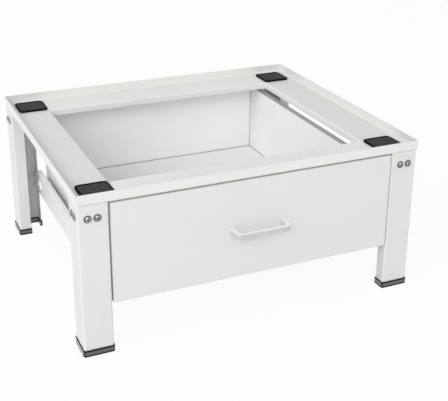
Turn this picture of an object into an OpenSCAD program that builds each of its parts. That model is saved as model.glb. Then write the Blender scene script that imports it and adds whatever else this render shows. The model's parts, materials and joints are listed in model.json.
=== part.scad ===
// Washer pedestal with a drawer: a painted steel stand whose recessed tray carries the washer,
// four bolted legs with plastic foot caps, and a board drawer on roller slides between the legs.
// Millimetres, Z up, front towards -Y. The pieces are drawn with the floor at z = 0, the front
// rim at y = 0 and the middle at x = 0. Then all are moved so that the origin is the bottom
// centre of the whole part. "u" is a distance inwards from the side face of the rim.

/* [Stand] */
// Width over the rim of the tray
stand_w = 630; // [580:1:700]
// Depth over the rim of the tray
stand_d = 540; // [500:1:620]
// Height from the floor to the top of the rim
stand_h = 290; // [270:1:360]

/* [Tray rails] */
// Width of each rail, from the rim to the inner lip
rail_w = 75; // [68:1:90]
// Sheet thickness of the rails
rail_t = 2; // [1.5:0.1:2.5]
// Height of the outer rim
rim_h = 18; // [12:0.5:26]
// Height of the inner lip, which is turned down
rail_lip_h = 12; // [8:0.5:16]
// Outer radius of the bends of the rails
rail_bend_r = 3; // [2.6:0.1:4]

/* [Legs] */
// Width of each flange of a leg
leg_w = 51; // [46:0.5:56]
// Width of the returned lip on each flange
leg_lip = 22.5; // [20:0.5:26]
// Sheet thickness of the legs
leg_t = 1.5; // [1.2:0.1:2]
// Outer radius of the bends of the legs
leg_bend_r = 3; // [2.2:0.1:4]
// Distance that the rim stands proud of the legs
leg_inset = 1.5; // [1:0.1:2.5]

/* [Foot caps] */
// Height of a foot cap
cap_h = 12; // [8:0.5:20]
// Thickness of the sole under the leg
cap_base = 3; // [2:0.1:5]
// Thickness of the walls beside the leg sheet
cap_wall = 1.6; // [1.2:0.1:2.5]
// Play between the leg sheet and its slot
cap_play = 0.1; // [0.05:0.05:0.2]

/* [Pads] */
// Width of a square pad
pad_w = 56; // [40:1:58]
// Distance from the rim's outer face to the pad
pad_inset = 16; // [10:0.5:16.5]
// Thickness of a pad with its ribs
pad_t = 3.6; // [3:0.1:6]
// Height of the ribs
pad_rib_h = 1.2; // [0.6:0.1:1.6]
// Number of ribs, odd
pad_ribs = 9; // [5:2:13]
// Corner radius of a pad
pad_r = 7; // [3:0.5:10]

/* [Corner brackets and leg bolts] */
// Width of each flange of a bracket
bracket_w = 42; // [40:0.5:44]
// Height of a bracket under the tray
bracket_h = 45; // [38:1:60]
// Sheet thickness of a bracket
bracket_t = 2.5; // [2:0.1:3]
// Distance from the rim's outer corner to the nearer bolt
bolt_near = 18; // [17.5:0.5:19]
// Distance from the rim's outer corner to the farther bolt
bolt_far = 34; // [33:0.5:36]
// Distance of the bolts below the top of the rim
bolt_drop = 42; // [38:0.5:46]
// Diameter of a leg bolt
bolt_d = 6; // [5:0.5:6.5]
// Diameter of a leg bolt's head
bolt_head_d = 12; // [10:0.5:13]
// Height of a leg bolt's head
bolt_head_h = 3.5; // [2.5:0.1:4.5]
// Width of a leg nut over its flats
bolt_nut_w = 10; // [9:0.5:10.5]
// Thickness of a leg nut
bolt_nut_t = 5; // [4:0.1:5.5]
// Diameter of a leg washer
washer_d = 12; // [11:0.5:12.5]
// Thickness of a leg washer
washer_t = 1.2; // [0.8:0.1:1.6]

/* [Side rails] */
// Height of a side rail
side_rail_h = 47; // [44:0.5:54]
// Depth of a side rail, from its web to its lips
side_rail_depth = 11; // [10:0.5:13]
// Sheet thickness of a side rail
side_rail_t = 1.5; // [1.2:0.1:1.6]
// Height of each lip of a side rail
side_rail_lip = 17; // [16:0.5:18]
// Outer radius of the bends of a side rail
side_rail_r = 2.5; // [2:0.1:3]
// Distance of the side rail's lower edge below the drawer sides
side_rail_drop = 14.5; // [14:0.1:16]
// Diameter of the access hole to the rear slide nut
access_d = 28; // [20:0.5:30]
// Height of the access hole above the side rail's lower edge
access_rise = 7.5; // [4:0.5:8]
// Diameter of a side rail bolt
rail_bolt_d = 5; // [4:0.5:5]
// Distance from the rim's outer face to the side rail bolts
rail_bolt_y = 14; // [12:0.5:16]
// Height between the two side rail bolts of a leg
rail_bolt_pitch = 24; // [18:0.5:28]

/* [Slides] */
// Space between a side rail and the drawer side for the slide
slide_space = 12.5; // [12:0.1:13.5]
// Sheet thickness of the slides
slide_t = 1.2; // [1:0.1:1.4]
// Diameter of a slide roller
roller_d = 21.4; // [20:0.1:22]
// Width of a slide roller
roller_w = 7; // [6:0.1:7.2]
// Diameter of a roller's axle
axle_d = 5; // [4:0.1:5.5]
// Free space behind the slide channel
slide_back_gap = 21; // [15:0.5:24]
// Distance from the end of a channel to the axle of its roller
roller_setback = 14; // [12:0.5:16]
// Diameter of a slide screw
slide_screw_d = 4; // [3.5:0.1:4]
// Distance from the front end of a channel to its front screw
slide_screw_front = 37; // [36:1:60]
// Distance from the rear end of a channel to its rear screw
slide_screw_back = 30; // [28:1:50]
// Travel of the drawer
drawer_travel = 370; // [300:1:380]
// Distance from the front end of a drawer slide to its first screw
foot_screw_front = 50; // [30:1:90]
// Distance from the rear end of a drawer slide to its last screw
foot_screw_back = 60; // [30:1:90]
// Length of a drawer slide's screws in the board
foot_screw_bite = 12; // [10:0.5:16]

/* [Drawer] */
// Height of the drawer front's lower edge above the floor
front_z = 91; // [80:1:110]
// Thickness of the drawer front
front_t = 16; // [15:0.5:18]
// Gap between the drawer front and the legs
front_gap = 2.5; // [2.2:0.1:4]
// Gap between the drawer front and the tray
front_top_gap = 3; // [2:0.1:5]
// Thickness of the drawer sides and back
board_t = 12; // [12:0.5:14]
// Thickness of the drawer bottom
bottom_t = 4; // [3:0.1:5]
// Height of the drawer sides' lower edge above the front's lower edge
side_rise = 5; // [3:0.5:8]
// Gap between the drawer sides and the lip of the tray above them
side_top_gap = 9; // [1.5:0.5:14]
// Height of the drawer bottom above the sides' lower edge
bottom_rise = 10; // [2.5:0.1:14]
// Distance of the drawer back behind the rim's rear face
back_gap = 10; // [8:0.5:16]
// Depth of the grooves for the drawer bottom
groove_depth = 6; // [4:0.5:6]

/* [Drawer fasteners] */
// Diameter of a cam nut
cam_d = 15; // [12:0.5:15]
// Distance from the front's inner face to the middle of a cam nut
cam_setback = 24; // [20:0.5:30]
// Distance of the cam nuts from the edges of the drawer sides
cam_edge = 34; // [25:1:45]
// Diameter of a dowel
dowel_d = 6; // [5:0.5:7]
// Length of a dowel
dowel_len = 28; // [20:1:32]
// Diameter of a wood screw
wood_screw_d = 3.5; // [3:0.1:3.5]

/* [Handle] */
// Height of the handle's middle above the front's lower edge
handle_rise = 87; // [60:1:110]
// Distance between the handle's screws
handle_pitch = 96; // [64:32:160]
// Distance that the handle stands out
handle_reach = 26; // [24:0.5:34]
// Height of the handle's bar
handle_h = 9; // [8:0.5:12]
// Thickness of the handle's bar
handle_t = 6.5; // [6:0.5:10]
// Width of the handle's posts
post_w = 8; // [7.5:0.5:11]
// Outer radius of the handle's corners
handle_r = 11; // [9:0.5:12]
// Diameter of a handle screw
handle_screw_d = 4; // [3.5:0.1:4.5]

/* [Hidden] */
$fn = 48;
eps = 1;
fit = 0.05;
loose = 0.25;
touch_gap = 0.3;

// Colours
paint = [0.91, 0.9, 0.87];
board = [0.9, 0.9, 0.92];
zinc = [0.78, 0.78, 0.77];
cap_grey = [0.27, 0.28, 0.29];
rubber = [0.08, 0.08, 0.09];
nylon = [0.95, 0.95, 0.93];
wood = [0.8, 0.66, 0.46];

// Tray and legs
tray_z0 = stand_h - rim_h;
tray_z1 = tray_z0 + rail_t;
lip_z = tray_z1 - rail_lip_h;
leg_face = leg_inset + leg_t;
leg_u = leg_inset + leg_w;
bolt_z = stand_h - bolt_drop;
bolt_hole_d = bolt_d + 0.5;
bolt_rim_h = 1.2;
bolt_end_play = 1.3;
bolt_stack = leg_t + bracket_t + washer_t + bolt_nut_t;

// Drawer boards
front_inner = leg_inset + front_t;
front_top = tray_z0 - front_top_gap;
front_w = stand_w - 2 * (leg_u + front_gap);
side_z0 = front_z + side_rise;
side_z1 = lip_z - side_top_gap;
back_y1 = stand_d - back_gap;
back_y0 = back_y1 - board_t;
bottom_z = side_z0 + bottom_rise;

// Side rails
rail_u0 = leg_u - leg_t - side_rail_t;
rail_z0 = side_z0 - side_rail_drop;
rail_end = leg_face + 1.5;
rail_flange_y = leg_inset + leg_lip + 2;
rail_bolt_zs = [for (s = [-1, 1]) rail_z0 + (side_rail_h + s * rail_bolt_pitch) / 2];
rail_head_h = 1.4;
rail_nut_w = 8;
rail_nut_t = 4;
access_z = rail_z0 + access_rise + access_d / 2;

// Slides
slide_u0 = rail_u0 + side_rail_depth;
slide_u1 = slide_u0 + slide_space;
roller_u = slide_u0 + slide_t + 1.1;
axle_head_t = 0.7;
axle_head_d = axle_d + 4;
axle_shoulder_d = axle_d + 3;
side_play = 0.1;
channel_y0 = front_inner + 1.5;
channel_y1 = stand_d - slide_back_gap;
channel_z0 = side_z0 - 14;
channel_depth = roller_u + roller_w + 0.5 - slide_u0;
rear_roller_y = channel_y1 - roller_setback;
rear_roller_z = channel_z0 + slide_t + touch_gap + roller_d / 2;
channel_h = roller_d + 2 * slide_t + 1;
run_z0 = channel_z0 + channel_h + 0.4;
run_z1 = run_z0 + slide_t;
front_roller_y = channel_y0 + roller_setback;
front_roller_z = run_z0 - touch_gap - roller_d / 2;
slide_bend_r = 2;
slide_screw_z = rear_roller_z;
slide_screw_ys = [channel_y0 + slide_screw_front, channel_y1 - slide_screw_back];
slide_nut_w = 7;
slide_nut_t = 3.2;
stop_h = 4;
stop_t = 2;
stop_reach = sqrt(pow(roller_d / 2, 2) - pow(roller_d / 2 - stop_h + touch_gap, 2)) + 0.5;
angle_y0 = front_inner + 1;
angle_y1 = back_y0 - 1;
ear_d = 16;
foot_w = board_t - 0.5;
foot_screw_u = slide_u1 + 3.5;
foot_screw_ys = [angle_y0 + foot_screw_front, (angle_y0 + angle_y1) / 2,
                 angle_y1 - foot_screw_back];

// Drawer fasteners, on the middle of the side boards' thickness
joint_u = slide_u1 + board_t / 2;
cam_zs = [side_z0 + cam_edge, side_z1 - cam_edge];
cam_t = board_t - 1.8;
cam_bolt_d = 6;
cam_head_d = cam_bolt_d + 1;
cam_hole_d = cam_head_d + 0.4;
cam_bolt_depth = 11;
dowel_z = (side_z0 + side_z1) / 2;
back_screw_zs = [side_z0 + 24, dowel_z, side_z1 - 24];
back_screw_len = 38;

// Handle
handle_z = front_z + handle_rise;
handle_screw_len = front_t + 9;

// The whole part in Y, from the handle to the rear bolt heads
reach_front = leg_inset - handle_reach;
reach_back = stand_d - leg_inset + bolt_head_h;
mid_y = (reach_front + reach_back) / 2;

CORNERS = ["front_left", "front_right", "back_left", "back_right"];
SIDES = ["left", "right"];
CORNER_PARTS = ["leg", "corner_bracket", "foot_cap", "pad"];
SIDE_PARTS = ["side_rail", "slide_channel", "front_axle", "front_roller",
              "drawer_slide", "rear_axle", "rear_roller", "drawer_side"];

// ---- places ----

// Moves a piece from the drawing's origin to the part's origin
module place() {
    translate([0, -mid_y, 0]) children();
}

module flip_x(yes) {
    if (yes) mirror([1, 0, 0]) children();
    else children();
}

module flip_y(yes) {
    if (yes) mirror([0, 1, 0]) children();
    else children();
}

// Children are drawn for the left side, with x as the distance u from the rim's side face
module at_side(s) {
    place()
        translate([s == 1 ? stand_w / 2 : -stand_w / 2, 0, 0])
            flip_x(s == 1) children();
}

// Children are drawn for the front left corner, with x and y inwards from the rim's corner
module at_corner(i) {
    at_side(i % 2)
        translate([0, i > 1 ? stand_d : 0, 0])
            flip_y(i > 1) children();
}

module all_corners() {
    for (i = [0:3]) at_corner(i) children();
}

module both_sides() {
    for (s = [0:1]) at_side(s) children();
}

// Children on the front flange of a leg are repeated on its side flange
module both_flanges() {
    children();
    mirror([1, -1, 0]) children();
}

module towards_y() {
    rotate([-90, 0, 0]) children();
}

module towards_x() {
    rotate([0, 90, 0]) children();
}

module outwards() {
    rotate([0, -90, 0]) children();
}

// Extrudes a section drawn in u and z from y0 to y1
module along_y(y0, y1) {
    translate([0, y1, 0]) rotate([90, 0, 0]) linear_extrude(y1 - y0) children();
}

// ---- sections ----

module rounded_rect(w, h, r) {
    if (r > 0) {
        translate([r, 0]) square([w - 2 * r, h]);
        translate([0, r]) square([w, h - 2 * r]);
        for (x = [r, w - r], y = [r, h - r]) translate([x, y]) circle(r);
    } else {
        square([w, h]);
    }
}

// A bent strip of sheet: a quarter of a ring in the first quadrant
module quarter_ring(r, t) {
    intersection() {
        difference() {
            circle(r);
            if (r > t) circle(r - t);
        }
        square(r);
    }
}

// An angle whose two flanges end in lips that are turned inwards
module lipped_angle(w, lip, t, r) {
    difference() {
        rounded_rect(w, w, r);
        translate([t, t]) rounded_rect(w - 2 * t, w - 2 * t, r - t);
        translate([lip, lip]) square(w);
    }
}

module plain_angle(w, t, r) {
    translate([r, 0]) square([w - r, t]);
    translate([0, r]) square([t, w - r]);
    translate([r, r]) rotate(180) quarter_ring(r, t);
}

// A channel with its web at x = 0; each lip stands height "lip" from its edge
module lipped_channel(depth, h, lip, t, r) {
    difference() {
        rounded_rect(depth, h, r);
        translate([t, t]) rounded_rect(depth - 2 * t, h - 2 * t, r - t);
        translate([depth / 2, lip]) square([depth, h - 2 * lip]);
    }
}

// A plain channel with its web at x = 0 and square flange ends
module plain_channel(depth, h, t, r) {
    difference() {
        union() {
            rounded_rect(depth, h, r);
            translate([depth / 2, 0]) square([depth / 2, h]);
        }
        translate([t, t]) rounded_rect(depth, h - 2 * t, r - t);
        translate([depth / 2, t]) square([depth, h - 2 * t]);
    }
}

// Section of a tray rail in u and z: rim, tray and inner lip
module rail_section() {
    translate([0, tray_z0 + rail_bend_r]) square([rail_t, rim_h - rail_bend_r]);
    translate([rail_bend_r, tray_z0 + rail_bend_r]) rotate(180) quarter_ring(rail_bend_r, rail_t);
    translate([rail_bend_r, tray_z0]) square([rail_w - 2 * rail_bend_r, rail_t]);
    translate([rail_w - rail_bend_r, tray_z1 - rail_bend_r]) quarter_ring(rail_bend_r, rail_t);
    translate([rail_w - rail_t, lip_z]) square([rail_t, rail_lip_h - rail_bend_r]);
}

// ---- fasteners, each along +z with its head below z = 0 ----

// A cross recess cut up into a head whose outer end is at z = 0
module cross_recess(w, depth) {
    for (a = [0, 90])
        rotate(a) translate([-w / 2, -w / 8, -eps]) cube([w, w / 4, depth + eps]);
}

module domed_bolt(d, len, head_d, head_h, rim) {
    dome = head_h - rim;
    ball_r = (pow(head_d / 2, 2) + pow(dome, 2)) / (2 * dome);
    difference() {
        union() {
            cylinder(h = len, d = d);
            intersection() {
                translate([0, 0, -head_h]) cylinder(h = head_h, d = head_d);
                translate([0, 0, ball_r - head_h]) sphere(ball_r, $fn = 64);
            }
        }
        translate([0, 0, -head_h]) cross_recess(head_d * 0.55, head_h * 0.5);
    }
}

module flat_bolt(d, len, head_d, head_h) {
    difference() {
        union() {
            cylinder(h = len, d = d);
            translate([0, 0, -head_h]) cylinder(h = head_h, d = head_d);
        }
        translate([0, 0, -head_h]) cross_recess(head_d * 0.5, head_h * 0.6);
    }
}

// A countersunk screw whose flat head lies at z = 0
module sunk_screw(d, len, head_d, head_h) {
    difference() {
        union() {
            cylinder(h = len, d = d);
            cylinder(h = head_h, d1 = head_d, d2 = d);
        }
        cross_recess(head_d * 0.5, head_h * 0.6);
    }
}

module hex_nut(w, t, bore) {
    difference() {
        rotate(30) cylinder(h = t, d = w / cos(30), $fn = 6);
        translate([0, 0, -eps]) cylinder(h = t + 2 * eps, d = bore);
    }
}

// ---- tray ----

// A rail along x with its rim at y = 0, mitred at both ends
module tray_rail(len) {
    color(paint) intersection() {
        rotate([90, 0, 90]) linear_extrude(len) rail_section();
        linear_extrude(stand_h + eps)
            polygon([[0, 0], [len, 0], [len - rail_w, rail_w], [rail_w, rail_w]]);
    }
}

module front_rail() {
    place() translate([-stand_w / 2, 0, 0]) tray_rail(stand_w);
}

module back_rail() {
    place() translate([-stand_w / 2, stand_d, 0]) mirror([0, 1, 0]) tray_rail(stand_w);
}

module left_rail() {
    at_side(0) mirror([1, -1, 0]) tray_rail(stand_d);
}

module right_rail() {
    at_side(1) mirror([1, -1, 0]) tray_rail(stand_d);
}

module pad(i) {
    rib_w = pad_w / (2 * pad_ribs - 1);
    color(rubber) at_corner(i) translate([pad_inset, pad_inset, tray_z1]) difference() {
        linear_extrude(pad_t) rounded_rect(pad_w, pad_w, pad_r);
        for (k = [1:pad_ribs - 1])
            translate([-eps, (2 * k - 1) * rib_w, pad_t - pad_rib_h])
                cube([pad_w + 2 * eps, rib_w, pad_rib_h + eps]);
    }
}

// ---- legs ----

// The leg bolts' holes through whatever lies within "depth" of the rim's faces
module leg_bolt_holes(depth) {
    both_flanges()
        for (x = [bolt_near, bolt_far])
            translate([x, 0, bolt_z]) towards_y() cylinder(h = depth, d = bolt_hole_d);
}

// The side rail bolts' holes through the leg's lip and the rail's tab
module rail_bolt_holes() {
    for (z = rail_bolt_zs)
        translate([rail_u0 - eps, rail_bolt_y, z]) towards_x()
            cylinder(h = leg_u - rail_u0 + 2 * eps, d = rail_bolt_d + 0.5);
}

module leg(i) {
    color(paint) at_corner(i) difference() {
        translate([leg_inset, leg_inset, cap_base]) linear_extrude(tray_z0 - cap_base)
            lipped_angle(leg_w, leg_lip, leg_t, leg_bend_r);
        leg_bolt_holes(leg_face + eps);
        rail_bolt_holes();
    }
}

module corner_bracket(i) {
    color(paint) at_corner(i) difference() {
        translate([leg_face, leg_face, tray_z0 - bracket_h]) linear_extrude(bracket_h)
            plain_angle(bracket_w, bracket_t, bracket_t + 0.5);
        leg_bolt_holes(leg_face + bracket_t + eps);
    }
}

// The leg's section, grown by g all round
module grown_leg(g) {
    translate([leg_inset - g, leg_inset - g])
        lipped_angle(leg_w + 2 * g, leg_lip + 2 * g, leg_t + 2 * g, leg_bend_r + g);
}

module foot_cap(i) {
    color(cap_grey) at_corner(i) difference() {
        linear_extrude(cap_h) grown_leg(cap_wall + cap_play);
        translate([0, 0, cap_base]) linear_extrude(cap_h) grown_leg(cap_play);
    }
}

// Children lie on each leg bolt's axis, with z = 0 "depth" inside the rim's face
module at_leg_bolts(depth) {
    all_corners() both_flanges()
        for (x = [bolt_near, bolt_far])
            translate([x, depth, bolt_z]) towards_y() children();
}

module leg_bolts() {
    color(zinc) at_leg_bolts(leg_inset)
        domed_bolt(bolt_d, bolt_stack + bolt_end_play, bolt_head_d, bolt_head_h, bolt_rim_h);
}

module leg_washers() {
    color(zinc) at_leg_bolts(leg_face + bracket_t) difference() {
        cylinder(h = washer_t, d = washer_d);
        translate([0, 0, -eps]) cylinder(h = washer_t + 2 * eps, d = bolt_d + 0.4);
    }
}

module leg_nuts() {
    color(zinc) at_leg_bolts(leg_face + bracket_t + washer_t)
        hex_nut(bolt_nut_w, bolt_nut_t, bolt_d + 2 * fit);
}

// ---- side rails ----

module side_rail(s) {
    color(paint) at_side(s) difference() {
        along_y(rail_end, stand_d - rail_end) translate([rail_u0, rail_z0])
            lipped_channel(side_rail_depth, side_rail_h, side_rail_lip, side_rail_t, side_rail_r);
        for (back = [false, true])
            translate([0, back ? stand_d : 0, 0]) flip_y(back) {
                translate([rail_u0 + side_rail_t, 0, rail_z0 - eps])
                    cube([side_rail_depth, rail_flange_y, side_rail_h + 2 * eps]);
                rail_bolt_holes();
            }
        translate([rail_u0 - eps, slide_screw_ys[1], access_z]) towards_x()
            cylinder(h = side_rail_t + 2 * eps, d = access_d);
        for (y = slide_screw_ys)
            translate([slide_u0 - side_rail_t - eps, y, slide_screw_z]) towards_x()
                cylinder(h = side_rail_t + 2 * eps, d = slide_screw_d + 0.4);
    }
}

// Children lie on each side rail bolt's axis, outwards from the distance u
module at_rail_bolts(u) {
    all_corners()
        for (z = rail_bolt_zs) translate([u, rail_bolt_y, z]) outwards() children();
}

module rail_bolts() {
    color(zinc) at_rail_bolts(leg_u)
        flat_bolt(rail_bolt_d, leg_t + side_rail_t + rail_nut_t + 2, 2 * rail_bolt_d, rail_head_h);
}

module rail_nuts() {
    color(zinc) at_rail_bolts(rail_u0) hex_nut(rail_nut_w, rail_nut_t, rail_bolt_d + 2 * fit);
}

// ---- fixed slides ----

// An upturned stop on the channel's lower flange, with its rear or front face at y
module slide_stop(y) {
    translate([slide_u0 + slide_t + 1, y, channel_z0 + slide_t / 2])
        cube([channel_depth - slide_t - 1, stop_t, slide_t / 2 + stop_h]);
}

module slide_channel(s) {
    color(paint) at_side(s) difference() {
        union() {
            along_y(channel_y0, channel_y1) translate([slide_u0, channel_z0])
                plain_channel(channel_depth, channel_h, slide_t, slide_bend_r);
            slide_stop(rear_roller_y - drawer_travel - stop_reach - stop_t);
            slide_stop(min(rear_roller_y + stop_reach, channel_y1 - stop_t));
        }
        translate([slide_u0 + slide_t, channel_y0 - eps, channel_z0 + channel_h / 2])
            cube([channel_depth, 2 * roller_setback + 3 + eps, channel_h]);
        translate([slide_u0 - eps, front_roller_y, front_roller_z]) towards_x()
            cylinder(h = slide_t + 2 * eps, d = axle_d + 2 * fit);
        for (y = slide_screw_ys)
            translate([slide_u0 + slide_t, y, slide_screw_z]) outwards()
                cylinder(h = slide_t, d1 = slide_screw_d + 2.6, d2 = slide_screw_d + 0.4);
    }
}

// An axle along +z: a shank through a sheet, a shoulder, the roller's seat and a flat head
module roller_axle(shoulder_end) {
    seat_end = shoulder_end + roller_w + 2 * side_play;
    cylinder(h = seat_end, d = axle_d);
    translate([0, 0, slide_t]) cylinder(h = shoulder_end - slide_t, d = axle_shoulder_d);
    translate([0, 0, seat_end]) cylinder(h = axle_head_t, d = axle_head_d);
}

// A roller along +z from z = 0 with bevelled edges
module roller() {
    bevel = 0.8;
    rotate_extrude() polygon([
        [axle_d / 2 + fit, 0],
        [roller_d / 2 - bevel, 0],
        [roller_d / 2, bevel],
        [roller_d / 2, roller_w - bevel],
        [roller_d / 2 - bevel, roller_w],
        [axle_d / 2 + fit, roller_w]]);
}

module front_axle(s) {
    color(zinc) at_side(s) translate([slide_u0, front_roller_y, front_roller_z])
        towards_x() roller_axle(roller_u - slide_u0 - side_play);
}

module front_roller(s) {
    color(nylon) at_side(s) translate([roller_u, front_roller_y, front_roller_z])
        towards_x() roller();
}

module slide_screws() {
    color(zinc) both_sides()
        for (y = slide_screw_ys)
            translate([slide_u0 + slide_t, y, slide_screw_z]) outwards()
                sunk_screw(slide_screw_d, slide_t + side_rail_t + slide_nut_t + 0.8,
                           slide_screw_d + 2.4, slide_t);
}

module slide_nuts() {
    color(zinc) both_sides()
        for (y = slide_screw_ys)
            translate([slide_u0 - side_rail_t, y, slide_screw_z]) outwards()
                hex_nut(slide_nut_w, slide_nut_t, slide_screw_d + 2 * fit);
}

// ---- drawer slides ----

// Section in u and z: a running flange, a web on the drawer side and a foot under it
module drawer_slide_section() {
    web_u = slide_u1 - slide_t;
    translate([roller_u - 0.5, run_z0])
        square([slide_u1 - slide_bend_r - roller_u + 0.5, slide_t]);
    translate([slide_u1 - slide_bend_r, run_z1 - slide_bend_r])
        quarter_ring(slide_bend_r, slide_t);
    translate([web_u, side_z0]) square([slide_t, run_z1 - slide_bend_r - side_z0]);
    translate([slide_u1, side_z0]) rotate(180) quarter_ring(slide_t, slide_t);
    translate([slide_u1, side_z0 - slide_t]) square([foot_w, slide_t]);
}

module drawer_slide(s) {
    web_u = slide_u1 - slide_t;
    color(paint) at_side(s) difference() {
        union() {
            along_y(angle_y0, angle_y1) drawer_slide_section();
            translate([web_u, rear_roller_y, rear_roller_z]) towards_x()
                cylinder(h = slide_t, d = ear_d);
            translate([web_u, rear_roller_y - ear_d / 2, rear_roller_z])
                cube([slide_t, ear_d, side_z0 + eps - rear_roller_z]);
        }
        translate([web_u - eps, rear_roller_y, rear_roller_z]) towards_x()
            cylinder(h = slide_t + 2 * eps, d = axle_d + 2 * fit);
        for (y = foot_screw_ys)
            translate([foot_screw_u, y, side_z0 - slide_t - eps])
                cylinder(h = slide_t + 2 * eps, d = wood_screw_d + 0.4);
    }
}

module rear_axle(s) {
    color(zinc) at_side(s) translate([slide_u1, rear_roller_y, rear_roller_z])
        outwards() roller_axle(slide_u1 - roller_u - roller_w - side_play);
}

module rear_roller(s) {
    color(nylon) at_side(s) translate([roller_u, rear_roller_y, rear_roller_z])
        towards_x() roller();
}

module drawer_slide_screws() {
    color(zinc) both_sides()
        for (y = foot_screw_ys)
            translate([foot_screw_u, y, side_z0 - slide_t])
                flat_bolt(wood_screw_d, slide_t + foot_screw_bite, 2 * wood_screw_d, 1.8);
}

// ---- drawer boards ----

// A slot for the drawer bottom, from u0 inwards to the middle and from y0 to y1
module bottom_slot(u0, y0, y1, z_play) {
    at_side(0) translate([u0, y0, bottom_z - z_play])
        cube([stand_w - 2 * u0, y1 - y0, bottom_t + 2 * z_play]);
}

// Holes along y for the cam bolts and dowels that join a drawer side to the front
module joint_holes(y0, y1, bolt_hole, dowel_depth) {
    for (z = cam_zs)
        translate([joint_u, y0, z]) towards_y() cylinder(h = y1 - y0, d = bolt_hole);
    translate([joint_u, front_inner - dowel_depth, dowel_z]) towards_y()
        cylinder(h = 2 * dowel_depth, d = dowel_d + 2 * fit);
}

module drawer_side(s) {
    color(board) difference() {
        at_side(s) translate([slide_u1, front_inner, side_z0])
            cube([board_t, back_y0 - front_inner, side_z1 - side_z0]);
        bottom_slot(slide_u1 + board_t - groove_depth, 0, stand_d, 0.2);
        at_side(s) {
            joint_holes(front_inner - eps, front_inner + cam_setback,
                        cam_hole_d, dowel_len / 2 + 0.3);
            for (z = cam_zs)
                translate([slide_u1 + board_t + eps, front_inner + cam_setback, z]) outwards()
                    cylinder(h = cam_t + 0.2 + eps, d = cam_d + 2 * fit);
            for (z = back_screw_zs)
                translate([joint_u, back_y1 - back_screw_len - 1, z]) towards_y()
                    cylinder(h = back_screw_len, d = wood_screw_d + 2 * fit);
            for (y = foot_screw_ys)
                translate([foot_screw_u, y, side_z0 - eps])
                    cylinder(h = foot_screw_bite + 1 + eps, d = wood_screw_d + 2 * fit);
        }
    }
}

module drawer_front() {
    color(board) difference() {
        place() translate([-front_w / 2, leg_inset, front_z])
            cube([front_w, front_t, front_top - front_z]);
        bottom_slot(slide_u1 + board_t - groove_depth, front_inner - groove_depth,
                    front_inner + eps, 0.2);
        both_sides()
            joint_holes(front_inner - cam_bolt_depth - 0.2, front_inner + eps,
                        cam_bolt_d + 2 * fit, dowel_len / 2 - 2.7);
        place() for (x = [-1, 1] * handle_pitch / 2)
            translate([x, leg_inset - eps, handle_z]) towards_y()
                cylinder(h = front_t + 2 * eps, d = handle_screw_d + 0.3);
    }
}

module drawer_back() {
    color(board) difference() {
        at_side(0) translate([slide_u1, back_y0, side_z0])
            cube([stand_w - 2 * slide_u1, board_t, side_z1 - side_z0]);
        bottom_slot(slide_u1 + board_t - groove_depth, back_y0 - eps,
                    back_y0 + groove_depth, 0.2);
        both_sides()
            for (z = back_screw_zs)
                translate([joint_u, back_y1, z]) rotate([90, 0, 0]) {
                    cylinder(h = board_t + eps, d = wood_screw_d + 0.3);
                    cylinder(h = 2.6, d1 = 2 * wood_screw_d + 0.4, d2 = wood_screw_d + 0.3);
                }
    }
}

module drawer_bottom() {
    color(board)
        bottom_slot(slide_u1 + board_t - groove_depth + loose,
                    front_inner - groove_depth + loose, back_y0 + groove_depth - loose, 0);
}

module dowels() {
    color(wood) both_sides()
        translate([joint_u, front_inner - dowel_len / 2 + 3, dowel_z]) towards_y()
            cylinder(h = dowel_len - 3, d = dowel_d);
}

module cam_bolts() {
    head = 4;
    color(zinc) both_sides()
        for (z = cam_zs)
            translate([joint_u, front_inner - cam_bolt_depth, z]) towards_y() {
                cylinder(h = cam_bolt_depth + cam_setback - head, d = cam_bolt_d);
                translate([0, 0, cam_bolt_depth + cam_setback - 2 * head])
                    cylinder(h = head, d = cam_head_d);
            }
}

module cam_nuts() {
    color(zinc) both_sides()
        for (z = cam_zs)
            difference() {
                translate([slide_u1 + board_t, front_inner + cam_setback, z]) outwards()
                    difference() {
                        cylinder(h = cam_t, d = cam_d);
                        cross_recess(cam_d * 0.5, 2);
                    }
                translate([joint_u, front_inner, z]) towards_y()
                    cylinder(h = cam_setback - 1, d = cam_hole_d);
            }
}

module back_screws() {
    color(zinc) both_sides()
        for (z = back_screw_zs)
            translate([joint_u, back_y1, z]) rotate([90, 0, 0])
                sunk_screw(wood_screw_d, back_screw_len, 2 * wood_screw_d, 2.4);
}

// ---- handle ----

// Outline in x and y of a bow that stands out by "reach", with round outer corners
module bow_outline(w, reach, r) {
    translate([-w / 2, r - reach]) square([w, reach - r]);
    translate([r - w / 2, -reach]) square([w - 2 * r, reach]);
    for (x = [r - w / 2, w / 2 - r]) translate([x, r - reach]) circle(r);
}

module handle() {
    outer_w = handle_pitch + post_w;
    inner_r = handle_r - handle_t + 2;
    color(paint) place() translate([0, leg_inset, handle_z]) difference() {
        translate([0, 0, -handle_h / 2]) linear_extrude(handle_h) difference() {
            bow_outline(outer_w, handle_reach, handle_r);
            translate([0, eps])
                bow_outline(outer_w - 2 * post_w, handle_reach - handle_t + eps, inner_r);
        }
        for (x = [-1, 1] * handle_pitch / 2)
            translate([x, eps, 0]) rotate([90, 0, 0])
                cylinder(h = handle_screw_len - front_t + 1 + eps, d = handle_screw_d + 2 * fit);
    }
}

module handle_screws() {
    color(zinc) place() for (x = [-1, 1] * handle_pitch / 2)
        translate([x, front_inner, handle_z]) rotate([90, 0, 0])
            domed_bolt(handle_screw_d, handle_screw_len, 2 * handle_screw_d, 2.4, 0.8);
}

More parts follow.
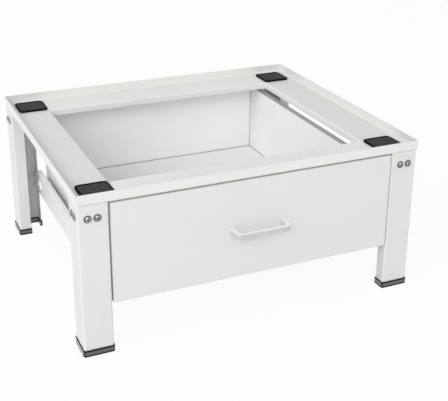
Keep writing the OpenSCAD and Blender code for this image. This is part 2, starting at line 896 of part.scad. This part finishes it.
front_rail();
back_rail();
left_rail();
right_rail();
for (i = [0:3]) {
    leg(i);
    corner_bracket(i);
    foot_cap(i);
    pad(i);
}
leg_bolts();
leg_washers();
leg_nuts();
rail_bolts();
rail_nuts();
for (s = [0:1]) {
    side_rail(s);
    slide_channel(s);
    front_axle(s);
    front_roller(s);
    drawer_slide(s);
    rear_axle(s);
    rear_roller(s);
    drawer_side(s);
}
slide_screws();
slide_nuts();
drawer_slide_screws();
drawer_front();
drawer_back();
drawer_bottom();
dowels();
cam_bolts();
cam_nuts();
back_screws();
handle();
handle_screws();
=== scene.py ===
"""Looks for the washer pedestal: materials, small fitted details, light and camera over the CAD."""
import json
import math

import bmesh
import bpy
from mathutils import Matrix, Vector


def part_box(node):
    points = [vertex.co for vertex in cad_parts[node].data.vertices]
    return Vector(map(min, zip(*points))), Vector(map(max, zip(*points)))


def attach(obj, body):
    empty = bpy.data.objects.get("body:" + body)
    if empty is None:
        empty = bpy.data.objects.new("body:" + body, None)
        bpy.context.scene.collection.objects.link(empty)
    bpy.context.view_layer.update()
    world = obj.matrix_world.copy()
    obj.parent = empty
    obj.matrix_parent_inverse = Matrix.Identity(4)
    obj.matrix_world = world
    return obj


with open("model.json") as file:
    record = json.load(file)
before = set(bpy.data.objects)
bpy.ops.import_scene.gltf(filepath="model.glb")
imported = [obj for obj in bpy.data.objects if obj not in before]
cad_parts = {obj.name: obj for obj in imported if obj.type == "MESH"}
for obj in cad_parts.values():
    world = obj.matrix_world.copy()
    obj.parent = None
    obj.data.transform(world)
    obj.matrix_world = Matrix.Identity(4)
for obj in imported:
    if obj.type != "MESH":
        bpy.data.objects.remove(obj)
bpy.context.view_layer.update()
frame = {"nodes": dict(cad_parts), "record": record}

NODES = frame["nodes"]
CORNERS = ("front_left", "front_right", "back_left", "back_right")

# All lengths are in metres and all angles in degrees, apart from the camera's focal length, the
# photo's size and the height of the optical axis in it, which are in pixels.
CAM_POS = Vector((-0.625, -1.5047, 0.8621))
CAM_AZ, CAM_EL, CAM_ROLL = 24.14, 21.31, 0.46
CAM_F_PX, PHOTO_W, PHOTO_H, CAM_CY = 907.8, 448.0, 401.0, 150.0
SENSOR_W = 36.0
CLIP_NEAR, CLIP_FAR = 0.05, 50.0


# ---- camera ----

def make_camera():
    """The photo's camera; azimuth runs from +Y towards +X, and the tilt is downwards."""
    a, e, r = (math.radians(v) for v in (CAM_AZ, CAM_EL, CAM_ROLL))
    fwd = Vector((math.sin(a) * math.cos(e), math.cos(a) * math.cos(e), -math.sin(e)))
    side = fwd.cross(Vector((0, 0, 1))).normalized()
    up = side.cross(fwd)
    right = side * math.cos(r) + up * math.sin(r)
    up = up * math.cos(r) - side * math.sin(r)
    data = bpy.data.cameras.new("camera")
    data.sensor_width = SENSOR_W
    data.lens = CAM_F_PX / PHOTO_W * SENSOR_W
    data.shift_y = (CAM_CY - PHOTO_H / 2) / PHOTO_W
    data.clip_start, data.clip_end = CLIP_NEAR, CLIP_FAR
    cam = bpy.data.objects.new("camera", data)
    m = Matrix((right, up, -fwd)).transposed().to_4x4()
    m.translation = CAM_POS
    cam.matrix_world = m
    bpy.context.scene.collection.objects.link(cam)
    bpy.context.scene.camera = cam


# ---- materials ----

class Mat:
    """A node material with a Principled shader and short ways to build what feeds it."""

    def __init__(self, name, metallic=0.0, specular=0.5, coat=0.0, coat_rough=0.1):
        self.mat = bpy.data.materials.new(name)
        self.mat.use_nodes = True
        self.nt = self.mat.node_tree
        self.bsdf = self.nt.nodes["Principled BSDF"]
        self.bsdf.inputs["Metallic"].default_value = metallic
        self.bsdf.inputs["Specular IOR Level"].default_value = specular
        self.bsdf.inputs["Coat Weight"].default_value = coat
        self.bsdf.inputs["Coat Roughness"].default_value = coat_rough
        self.coord = self.new("ShaderNodeTexCoord").outputs["Object"]
        self.normal = None

    def new(self, kind, **props):
        n = self.nt.nodes.new(kind)
        for k, v in props.items():
            setattr(n, k, v)
        return n

    def link(self, a, b):
        self.nt.links.new(a, b)

    def feed(self, socket, value):
        """Link another socket to an input, or set it to a number or a colour."""
        if isinstance(value, bpy.types.NodeSocket):
            self.link(value, socket)
        elif isinstance(value, tuple):
            socket.default_value = (*value, 1.0)
        else:
            socket.default_value = value

    def noise(self, scale, detail=2.0, rough=0.5, stretch=(1, 1, 1), distortion=0.0):
        m = self.new("ShaderNodeMapping")
        m.inputs["Scale"].default_value = stretch
        self.link(self.coord, m.inputs["Vector"])
        n = self.new("ShaderNodeTexNoise")
        n.inputs["Scale"].default_value = scale
        n.inputs["Detail"].default_value = detail
        n.inputs["Roughness"].default_value = rough
        n.inputs["Distortion"].default_value = distortion
        self.link(m.outputs["Vector"], n.inputs["Vector"])
        return n.outputs["Fac"]

    def ramp(self, fac, first, last):
        """Colours between two stops, each a (place, colour)."""
        r = self.new("ShaderNodeValToRGB")
        for el, (place, color) in zip(r.color_ramp.elements, (first, last)):
            el.position = place
            el.color = (*color, 1.0)
        self.link(fac, r.inputs["Fac"])
        return r.outputs["Color"]

    def span(self, fac, low, high, from_low=0.3, from_high=0.7):
        """Map from_low..from_high to low..high, held at both ends."""
        r = self.new("ShaderNodeMapRange")
        r.inputs["From Min"].default_value = from_low
        r.inputs["From Max"].default_value = from_high
        r.inputs["To Min"].default_value = low
        r.inputs["To Max"].default_value = high
        self.link(fac, r.inputs["Value"])
        return r.outputs["Result"]

    def mix(self, fac, a, b, blend="MIX"):
        m = self.new("ShaderNodeMix", data_type="RGBA", blend_type=blend)
        for k, v in ((0, fac), (6, a), (7, b)):     # the factor and the two colour sockets
            self.feed(m.inputs[k], v)
        return m.outputs[2]

    def math(self, op, a, b=0.0):
        m = self.new("ShaderNodeMath", operation=op)
        self.feed(m.inputs[0], a)
        self.feed(m.inputs[1], b)
        return m.outputs[0]

    def distance(self, a, b):
        """How far two values lie apart."""
        return self.math("ABSOLUTE", self.math("SUBTRACT", a, b))

    def axis(self, name):
        n = self.new("ShaderNodeSeparateXYZ")
        self.link(self.coord, n.inputs[0])
        return n.outputs[name]

    def facing(self, name, least=0.7):
        """1 where the surface faces either way along the object's axis, else 0."""
        n = self.new("ShaderNodeSeparateXYZ")
        self.link(self.new("ShaderNodeTexCoord").outputs["Normal"], n.inputs[0])
        return self.math("GREATER_THAN", self.math("ABSOLUTE", n.outputs[name]), least)

    def edge_distance(self, axes, low, high):
        """Distance to the nearest border of the box from low to high, along the named axes."""
        out = None
        for name in axes:
            k = "XYZ".index(name)
            v = self.axis(name)
            d = self.math("MINIMUM", self.math("SUBTRACT", v, low[k]),
                          self.math("SUBTRACT", high[k], v))
            out = d if out is None else self.math("MINIMUM", out, d)
        return out

    def nearest(self, points, fold=None):
        """Distance to the nearest of the points; fold mirrors x and y about the given (x, y)."""
        place = self.coord
        if fold:
            shift = self.new("ShaderNodeVectorMath", operation="SUBTRACT")
            self.link(place, shift.inputs[0])
            shift.inputs[1].default_value = (*fold, 0)
            split = self.new("ShaderNodeSeparateXYZ")
            self.link(shift.outputs[0], split.inputs[0])
            join = self.new("ShaderNodeCombineXYZ")
            self.link(self.math("ABSOLUTE", split.outputs["X"]), join.inputs["X"])
            self.link(self.math("ABSOLUTE", split.outputs["Y"]), join.inputs["Y"])
            self.link(split.outputs["Z"], join.inputs["Z"])
            place = join.outputs[0]
        out = None
        for point in points:
            far = self.new("ShaderNodeVectorMath", operation="DISTANCE")
            self.link(place, far.inputs[0])
            far.inputs[1].default_value = point
            d = far.outputs["Value"]
            out = d if out is None else self.math("MINIMUM", out, d)
        return out

    def bump(self, height, strength, distance):
        """Add a bump on top of those before it."""
        b = self.new("ShaderNodeBump")
        b.inputs["Strength"].default_value = strength
        b.inputs["Distance"].default_value = distance
        self.link(height, b.inputs["Height"])
        if self.normal is not None:
            self.link(self.normal, b.inputs["Normal"])
        self.normal = b.outputs["Normal"]

    def done(self, color, rough):
        self.link(color, self.bsdf.inputs["Base Color"])
        self.link(rough, self.bsdf.inputs["Roughness"])
        if self.normal is not None:
            self.link(self.normal, self.bsdf.inputs["Normal"])
        return self.mat


def powder_coat(name, light, dark, rough=(0.36, 0.46), heads=(), flat_level=1.0):
    """Satin powder coat with fine orange peel.

    heads are points where a bolt head bears on the paint, which is darkened just round them with
    painted shade.
    flat_level dims the faces that lie flat, up or down, with painted shade in a mottled noise."""
    m = Mat(name, specular=0.45, coat=0.12, coat_rough=0.3)
    color = m.ramp(m.noise(4.0, 3), (0.35, dark), (0.65, light))
    speck = m.ramp(m.noise(420.0, 2), (0.60, WHITE), (0.72, (0.93, 0.93, 0.92)))
    color = m.mix(0.5, color, speck, "MULTIPLY")
    # painted shade: faces lying flat, up or down, are dimmed towards flat_level with a mottled
    # noise
    if flat_level < 1.0:
        flat_face_shade = m.ramp(m.noise(14.0, 4, 0.6), (0.3, (flat_level,) * 3),
                      (0.7, (flat_level * 1.04,) * 3))
        color = m.mix(m.facing("Z"), color, m.mix(1.0, color, flat_face_shade, "MULTIPLY"))
    if heads:
        # painted shade: the paint is darkened in a ring just round each bolt head
        ring = m.span(m.nearest(heads), 0.6, 0.0, BOLT_HEAD_R + 0.0003, BOLT_HEAD_R + 0.0011)
        color = m.mix(ring, color, HEAD_RING_SHADE)
    m.bump(m.noise(520.0, 2, 0.55), 0.10, 0.0004)
    m.bump(m.noise(60.0, 2), 0.06, 0.0006)
    return m.done(color, m.span(m.noise(30.0, 3), *rough))


def melamine(name, light, dark, node, thin, top_edge_shade=None, joints=()):
    """White-faced board whose narrow sides carry an edge band, with its fine seam on the faces.

    thin is the board's short axis, and the colour given for the upper edge paints that edge dark as
    painted shade. A joint is (axis, place, half width, face axis, face place): a thin line of shade
    and dust where another board meets that face."""
    m = Mat(name, specular=0.42)
    low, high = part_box(node)
    color = m.ramp(m.noise(3.0, 3), (0.35, dark), (0.65, light))
    fibre = m.ramp(m.noise(260.0, 3, 0.6), (0.4, WHITE), (0.75, (0.965, 0.965, 0.97)))
    color = m.mix(0.6, color, fibre, "MULTIPLY")

    face = m.facing(thin)
    d = m.edge_distance([a for a in "XYZ" if a != thin], low, high)
    in_band = m.span(d, 1.0, 0.0, BAND_T, BAND_T + 0.0001)
    seam = m.math("MULTIPLY", m.span(d, 0.0, 1.0, BAND_T - 0.0001, BAND_T),
                  m.span(d, 1.0, 0.0, BAND_T + 0.00015, BAND_T + 0.0003))
    seam = m.math("MULTIPLY", seam, face)
    band = m.math("MAXIMUM", m.math("MULTIPLY", in_band, face), m.math("SUBTRACT", 1.0, face))
    color = m.mix(band, color, tuple(min(1.0, c * 1.035) for c in light))
    color = m.mix(m.math("MULTIPLY", seam, 0.55), color, SEAM_GLUE)

    # painted shade: the board's upper edge is coloured dark grey with a fine noise
    if top_edge_shade:
        up = m.span(m.axis("Z"), 0.0, 1.0, high.z - 0.0010, high.z - 0.0004)
        grain = m.ramp(m.noise(700.0, 3, 0.6), (0.3, top_edge_shade),
                       (0.7, tuple(c * 1.2 for c in top_edge_shade)))
        color = m.mix(up, color, grain)
    for axis, place, half, face_axis, face_place in joints:
        line = m.span(m.distance(m.axis(axis), place), 0.9, 0.0, half * 0.5, half)
        on_face = m.math("LESS_THAN", m.distance(m.axis(face_axis), face_place), 0.0008)
        color = m.mix(m.math("MULTIPLY", line, on_face), color, JOINT_SHADE)

    m.bump(m.noise(900.0, 2, 0.6), 0.12, 0.0002)
    m.bump(m.noise(25.0, 2), 0.05, 0.0008)
    m.bump(m.math("SUBTRACT", 1.0, seam), 0.4, 0.0001)
    rough = m.math("SUBTRACT", m.span(m.noise(40.0, 2), 0.42, 0.54), m.math("MULTIPLY", band, 0.08))
    return m.done(color, rough)


def zinc_plate(name, heads=(), middle=None):
    """Bright zinc, with painted shade round the rims of the heads that bear on the paint.

    The painted shade on the rims of the heads on the two sides of the stand is lighter than on
    those in front and behind. middle is the point about which the heads are mirrored."""
    m = Mat(name, metallic=1.0)
    color = m.ramp(m.noise(90.0, 3), (0.3, (0.40, 0.40, 0.40)), (0.7, (0.56, 0.56, 0.55)))
    tint = m.ramp(m.noise(160.0, 2), (0.45, WHITE), (0.7, (0.93, 0.90, 0.80)))
    m.bump(m.noise(900.0, 3, 0.6), 0.12, 0.0002)
    color = m.mix(0.6, color, tint, "MULTIPLY")
    if heads:
        # painted shade: a dark ring on each head's rim, lighter on the side heads
        rim = m.span(m.nearest(heads, middle), 0.0, 0.92,
                     BOLT_HEAD_R - 0.0014, BOLT_HEAD_R - 0.0004)
        share = m.span(m.math("ABSOLUTE", m.axis("X")), 1.0, 0.5, SIDE_HEAD_X, SIDE_HEAD_X + 0.004)
        color = m.mix(m.math("MULTIPLY", rim, share), color, (0.03, 0.03, 0.03))
    return m.done(color, m.span(m.noise(300.0, 3), 0.20, 0.38))


def moulded(name, light, dark, rough, grain, strength, specular=0.5):
    """Plain plastic, or the painted shade set in screw recesses, with a fine grain."""
    m = Mat(name, specular=specular)
    color = m.ramp(m.noise(35.0, 3), (0.35, dark), (0.65, light))
    m.bump(m.noise(grain, 2, 0.6), strength, 0.0003)
    return m.done(color, m.span(m.noise(120.0, 2), *rough))


def glossy_plastic():
    """The handle's grey-white plastic under a clear gloss, with a painted highlight that makes its
    flat upper side white.
    """
    m = Mat("handle_plastic", specular=0.7, coat=1.0, coat_rough=0.06)
    color = m.ramp(m.noise(45.0, 3), (0.35, (0.50, 0.50, 0.505)), (0.65, (0.56, 0.56, 0.565)))
    # painted highlight: faces lying flat are coloured near white
    color = m.mix(m.facing("Z"), color, (0.86, 0.86, 0.86))
    m.bump(m.noise(300.0, 2, 0.5), 0.03, 0.0002)
    return m.done(color, m.span(m.noise(120.0, 2), 0.16, 0.24))


def cap_plastic(node):
    """Glossy grey moulded plastic, matt and dark along its edges, where the dark is painted shade.
    """
    m = Mat("cap_" + node, specular=1.0, coat_rough=0.12)
    low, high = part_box(node)
    z = m.axis("Z")
    color = m.ramp(m.noise(60.0, 3), (0.3, (0.016, 0.0165, 0.017)), (0.7, (0.030, 0.031, 0.032)))
    # painted shade: dark and dull along the foot, the brim and the upright edges
    foot = m.span(z, 1.0, 0.0, 0.0026, 0.0036)
    brim = m.span(z, 0.0, 1.0, 0.0090, 0.0100)
    edge = m.math("MAXIMUM", foot, brim)
    for along, out in (("X", "Y"), ("Y", "X")):
        ends = m.span(m.edge_distance([along], low, high), 1.0, 0.0, 0.0016, 0.0028)
        edge = m.math("MAXIMUM", edge, m.math("MULTIPLY", ends, m.facing(out)))
    scuff = m.ramp(m.noise(420.0, 3, 0.6), (0.55, WHITE), (0.8, (0.75, 0.75, 0.75)))
    color = m.mix(m.math("MULTIPLY", edge, 0.95), color, (0.004, 0.004, 0.004))
    m.link(m.mix(edge, WHITE, (0.03, 0.03, 0.03)), m.bsdf.inputs["Specular Tint"])
    m.link(m.math("SUBTRACT", 1.0, edge), m.bsdf.inputs["Coat Weight"])
    m.bump(m.noise(700.0, 2, 0.6), 0.15, 0.0003)
    rough = m.math("ADD", m.span(m.noise(120.0, 2), 0.22, 0.30), m.math("MULTIPLY", edge, 0.3))
    return m.done(m.mix(0.6, color, scuff, "MULTIPLY"), rough)


def pad_rubber(node):
    """Black rubber: a smooth dark border and a lighter grey middle with a fine grain."""
    m = Mat("rubber_" + node, specular=0.12)
    low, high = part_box(node)
    color = m.ramp(m.noise(260.0, 4, 0.7), (0.35, (0.030, 0.030, 0.029)),
                   (0.65, (0.088, 0.088, 0.085)))
    border = m.math("MAXIMUM",
                    m.span(m.edge_distance("X", low, high), 1.0, 0.0, 0.0026, 0.0036),
                    m.span(m.edge_distance("Y", low, high), 1.0, 0.0, 0.0040, 0.0052))
    color = m.mix(border, color, (0.002, 0.002, 0.002))
    m.bump(m.noise(900.0, 3, 0.6), 0.35, 0.0003)
    rough = m.math("ADD", m.span(m.noise(200.0, 2), 0.62, 0.76), m.math("MULTIPLY", border, 0.10))
    return m.done(color, rough)


def beech():
    """Plain beech with its grain along Y, for the dowels."""
    m = Mat("beech", specular=0.3)
    grain = m.noise(220.0, 4, 0.6, (1, 0.08, 1), 0.4)
    color = m.ramp(grain, (0.3, (0.42, 0.25, 0.12)), (0.7, (0.62, 0.42, 0.24)))
    m.bump(grain, 0.2, 0.0003)
    return m.done(color, m.span(grain, 0.55, 0.7))


# ---- where screws are ----

def islands(node):
    """Corners of the box of each separate solid of a node."""
    me = NODES[node].data
    near = {}
    for v in me.vertices:
        near.setdefault(tuple(round(c * 50000) for c in v.co), []).append(v.index)
    group = list(range(len(me.vertices)))

    def root(i):
        while group[i] != i:
            group[i] = group[group[i]]
            i = group[i]
        return i

    for same in near.values():
        for i in same[1:]:
            group[root(i)] = root(same[0])
    for e in me.edges:
        group[root(e.vertices[0])] = root(e.vertices[1])
    found = {}
    for v in me.vertices:
        found.setdefault(root(v.index), []).append(v.co)
    return [(Vector(map(min, *c)), Vector(map(max, *c))) for c in found.values()]


def head_marks(node, depth, inward=False):
    """For each screw of a node, a point on its axis, the way its head faces, and the head's width.

    The point lies at the given depth under the top of the head. inward is for heads that face the
    middle of the part."""
    marks = []
    for low, high in islands(node):
        size, point = high - low, (low + high) / 2
        k = 1 if abs(size.y - size.z) > abs(size.x - size.z) else 0
        sign = 1 if point[k] > 0 else -1
        if inward:
            sign = -sign
        out = Vector((0, 0, 0))
        out[k] = sign
        point[k] = (high[k] if sign > 0 else low[k]) - sign * depth
        marks.append((point, out, size.z))
    return marks


# ---- materials of the nodes ----

WHITE = (1.0, 1.0, 1.0)
BAND_T = 0.0008                         # edge band of the boards
BOLT_HEAD_R, BOLT_HEAD_H = 0.006, 0.0035
SIDE_HEAD_X = 0.306                     # leg bolts beyond this x are on the stand's sides
BOLT_POINTS = [point for point, out, width in head_marks("leg_bolts", BOLT_HEAD_H)]

# Colours, or pairs of a light and a dark shade of one colour
# painted shade round the bolt heads on the paint
HEAD_RING_SHADE = (0.045, 0.044, 0.042)
SEAM_GLUE = (0.30, 0.29, 0.27)
JOINT_SHADE = (0.10, 0.10, 0.10)
PAINT_TINT = ((0.800, 0.797, 0.777), (0.775, 0.771, 0.750))
# painted shade: the legs carry a darker copy of the frame paint
LEG_SHADED_TINT = ((0.745, 0.742, 0.728), (0.725, 0.722, 0.706))
FRONT_TINT = ((0.752, 0.754, 0.769), (0.735, 0.738, 0.755))
# painted light: the drawer's inner boards are made lighter than its front board, standing in for
# light that scarcely reaches inside
INNER_LIT_TINT = ((0.890, 0.890, 0.890), (0.875, 0.875, 0.877))
# painted shade on the upper edges of the drawer's inner boards
TOP_EDGE_SHADE = (0.34, 0.34, 0.335)

# Each board's thin axis, its shades, lighter inside the drawer as painted light, and the painted
# shade of its upper edge
BOARDS = {"drawer_front": ("Y", FRONT_TINT, None),
          "drawer_back": ("Y", INNER_LIT_TINT, TOP_EDGE_SHADE),
          "drawer_side_left": ("X", INNER_LIT_TINT, TOP_EDGE_SHADE),
          "drawer_side_right": ("X", INNER_LIT_TINT, TOP_EDGE_SHADE),
          "drawer_bottom": ("Z", INNER_LIT_TINT, None)}

# painted shade: a near-black colour for the crosses set in the screw recesses
RECESS_SHADE = moulded("screw_recess_shade", (0.035, 0.034, 0.032), (0.018, 0.018, 0.017), (0.5, 0.7),
                 900.0, 0.2, 0.3)
BY_SLOT = {"frame_paint": powder_coat("frame_paint", *PAINT_TINT),
           "slide_paint": powder_coat("slide_paint", (0.80, 0.80, 0.79), (0.76, 0.76, 0.75),
                                      (0.30, 0.40)),
           "zinc": zinc_plate("zinc_plate"),
           "handle_plastic": glossy_plastic(),
           "roller_nylon": moulded("nylon", (0.80, 0.79, 0.75), (0.75, 0.74, 0.70), (0.36, 0.46),
                                   500.0, 0.08),
           "dowel_wood": beech()}


def board_joints():
    """Where boards meet inside the drawer: for each node, the lines across its inner face."""
    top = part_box("drawer_bottom")[1].z
    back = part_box("drawer_back")[0].y
    left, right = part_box("drawer_side_left")[1].x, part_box("drawer_side_right")[0].x
    return {"drawer_back": [("X", left, 0.0007, "Y", back), ("X", right, 0.0012, "Y", back),
                            ("Z", top, 0.0009, "Y", back)],
            "drawer_side_left": [("Z", top, 0.0008, "X", left)],
            "drawer_side_right": [("Z", top, 0.0009, "X", right)],
            "drawer_bottom": [("X", left, 0.0008, "Z", top), ("X", right, 0.0016, "Z", top),
                              ("Y", back, 0.0022, "Z", top)]}


def leg_paint(name):
    """The legs' paint, darker than the frame's as painted shade, with rings of painted shade round
    the bolt heads on this leg.
    """
    low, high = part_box(name)
    near = [p for p in BOLT_POINTS if low.x - 0.001 < p.x < high.x + 0.001
            and low.y - 0.001 < p.y < high.y + 0.001]
    return powder_coat("paint_" + name, *LEG_SHADED_TINT, heads=near)


def head_zinc():
    """The leg bolts' zinc, with the heads of one corner mirrored onto the other three."""
    mid_x, mid_y = (sum(p[k] for p in BOLT_POINTS) / len(BOLT_POINTS) for k in (0, 1))
    folded = [(p.x - mid_x, p.y - mid_y, p.z) for p in BOLT_POINTS if p.x > mid_x and p.y > mid_y]
    return zinc_plate("zinc_heads", folded, (mid_x, mid_y))


def dress_nodes():
    joints = board_joints()
    for part in frame["record"]["subparts"]:
        name = part["node"]
        if name in BOARDS:
            thin, tint, top_edge_shade = BOARDS[name]
            mat = melamine("board_" + name, *tint, name, thin, top_edge_shade, joints.get(name, ()))
        elif name.startswith("pad_"):
            mat = pad_rubber(name)
        elif name.startswith("foot_cap_"):
            mat = cap_plastic(name)
        elif name.startswith("leg_") and name[4:] in CORNERS:
            mat = leg_paint(name)
        elif name == "leg_bolts":
            mat = head_zinc()
        elif name in ("left_rail", "right_rail"):
            # the rails' flat faces are dimmed with painted shade
            mat = powder_coat("paint_" + name, *PAINT_TINT, flat_level=0.87)
        else:
            mat = BY_SLOT[part["material_slot"]]
        o = NODES[name]
        o.data.materials.clear()
        o.data.materials.append(mat)


# ---- painted shade in screw recesses, and edges ----

# Node, width of the cross as a share of the head's, depth under the head's top, whether the heads
# face the middle of the part, and the body that the screws ride
RECESSES = (("leg_bolts", 0.54, 0.00100, False, "frame"),
            ("rail_bolts", 0.49, 0.00035, True, "frame"),
            ("handle_screws", 0.54, 0.00080, True, "drawer"),
            ("cam_nuts", 0.49, 0.00080, True, "drawer"))
CROSS_T = 0.0002


def shade_crosses(name, places, width, body):
    """Dark crosses of painted shade at the bottom of screw recesses; a place is a point and the way
    it faces.
    """
    me = bpy.data.meshes.new(name)
    bm = bmesh.new()
    w, a = width / 2, width / 8 * 0.98      # half the width, and half an arm's
    outline = [(a, a), (a, w), (-a, w), (-a, a), (-w, a), (-w, -a), (-a, -a), (-a, -w), (a, -w),
               (a, -a), (w, -a), (w, a)]
    for point, out in places:
        turn = out.to_track_quat("Z", "Y").to_matrix().to_4x4()
        turn.translation = point
        ring = [bm.verts.new(turn @ Vector((x, y, 0))) for x, y in outline]
        top = bm.faces.new(ring)
        solid = bmesh.ops.extrude_face_region(bm, geom=[top])
        moved = [v for v in solid["geom"] if isinstance(v, bmesh.types.BMVert)]
        bmesh.ops.translate(bm, verts=moved, vec=out * CROSS_T)
    bmesh.ops.recalc_face_normals(bm, faces=bm.faces)
    bm.to_mesh(me)
    bm.free()
    me.materials.append(RECESS_SHADE)
    o = bpy.data.objects.new(name, me)
    bpy.context.scene.collection.objects.link(o)
    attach(o, body)


# painted shade: dark crosses set into the screw recesses
def mark_recesses():
    for node, share, depth, inward, body in RECESSES:
        marks = head_marks(node, depth, inward)
        places = [(point, out) for point, out, width in marks]
        shade_crosses(node + "_recess_shade", places, marks[-1][2] * share, body)


def soften_edges():
    """Narrow rounded edges on the drawer front, pads, caps and handle, inside their own size."""
    widths = {"drawer_front": 0.0006, "handle": 0.0016}
    for corner in CORNERS:
        widths["pad_" + corner] = widths["foot_cap_" + corner] = 0.0006
    for name, o in NODES.items():
        if name not in widths:
            continue
        weld = o.modifiers.new("weld", "WELD")
        weld.merge_threshold = 0.00002
        bevel = o.modifiers.new("bevel", "BEVEL")
        bevel.width = widths[name]
        bevel.segments = 3
        bevel.limit_method = "ANGLE"
        bevel.angle_limit = math.radians(50)


# ---- floor and light ----

FLOOR_HALF, FLOOR_DROP = 12.0, 0.0002
FLOOR_WHITE = 0.93                      # share of plain white in what the camera sees of the floor
AMBIENT = 0.42                          # the surround's strength as a light
WIDE, SMALL = (5.0, 4.0), (1.8, 1.2)    # lamp sizes
LAMP_DISTANCE, LAMP_AIM = 7.0, Vector((0, 0, 0.15))


def eye_rays(nt):
    """1 for rays that show the camera something, straight, in a gloss or through glass, else 0."""
    path = nt.nodes.new("ShaderNodeLightPath")
    seen = path.outputs["Is Camera Ray"]
    for kind in ("Is Glossy Ray", "Is Transmission Ray"):
        either = nt.nodes.new("ShaderNodeMath")
        either.operation = "MAXIMUM"
        nt.links.new(seen, either.inputs[0])
        nt.links.new(path.outputs[kind], either.inputs[1])
        seen = either.outputs[0]
    return seen


def make_floor():
    """A pale floor that keeps a faint shadow and runs into the white background."""
    me = bpy.data.meshes.new("floor")
    bm = bmesh.new()
    bmesh.ops.create_grid(bm, x_segments=1, y_segments=1, size=FLOOR_HALF)
    bm.to_mesh(me)
    bm.free()
    floor = bpy.data.objects.new("floor", me)
    floor.location = (0, 0, -FLOOR_DROP)
    bpy.context.scene.collection.objects.link(floor)
    m = Mat("floor_pale", specular=0.2)
    color = m.ramp(m.noise(2.0, 2), (0.3, (0.86, 0.86, 0.86)), (0.7, (0.88, 0.88, 0.88)))
    m.done(color, m.span(m.noise(8.0, 2), 0.6, 0.7))
    emit = m.new("ShaderNodeEmission")
    emit.inputs["Strength"].default_value = 1.0
    mix = m.new("ShaderNodeMixShader")
    m.link(m.math("MULTIPLY", eye_rays(m.nt), FLOOR_WHITE), mix.inputs[0])
    m.link(m.bsdf.outputs[0], mix.inputs[1])
    m.link(emit.outputs[0], mix.inputs[2])
    m.link(mix.outputs[0], m.nt.nodes["Material Output"].inputs["Surface"])
    me.materials.append(m.mat)


def make_world():
    """White as far as it is seen, and an even, weaker light on the part."""
    w = bpy.data.worlds.new("studio")
    bpy.context.scene.world = w
    w.use_nodes = True
    nt = w.node_tree
    bg = nt.nodes["Background"]
    bg.inputs["Color"].default_value = (*WHITE, 1.0)
    level = nt.nodes.new("ShaderNodeMapRange")
    level.inputs["To Min"].default_value = AMBIENT
    level.inputs["To Max"].default_value = 1.0
    nt.links.new(eye_rays(nt), level.inputs["Value"])
    nt.links.new(level.outputs["Result"], bg.inputs["Strength"])


def softbox(name, azimuth, elevation, power, size):
    """A soft lamp that faces the part; azimuth 0 is in front of it and negative is on its left."""
    a, e = math.radians(azimuth), math.radians(elevation)
    out = Vector((math.sin(a) * math.cos(e), -math.cos(a) * math.cos(e), math.sin(e)))
    data = bpy.data.lights.new(name, "AREA")
    data.shape = "RECTANGLE"
    data.size, data.size_y = size
    data.energy = power
    o = bpy.data.objects.new(name, data)
    o.location = LAMP_AIM + out * LAMP_DISTANCE
    o.rotation_euler = out.to_track_quat("Z", "Y").to_euler()
    bpy.context.scene.collection.objects.link(o)


bpy.context.scene.view_settings.view_transform = "Standard"
make_camera()
dress_nodes()
soften_edges()
mark_recesses()
make_floor()
make_world()
softbox("front", -18, 26, 174.0, WIDE)
softbox("side", -72, 34, 206.0, WIDE)
softbox("right", 31, 42, 26.0, SMALL)
softbox("behind", 200, 40, 88.0, WIDE)
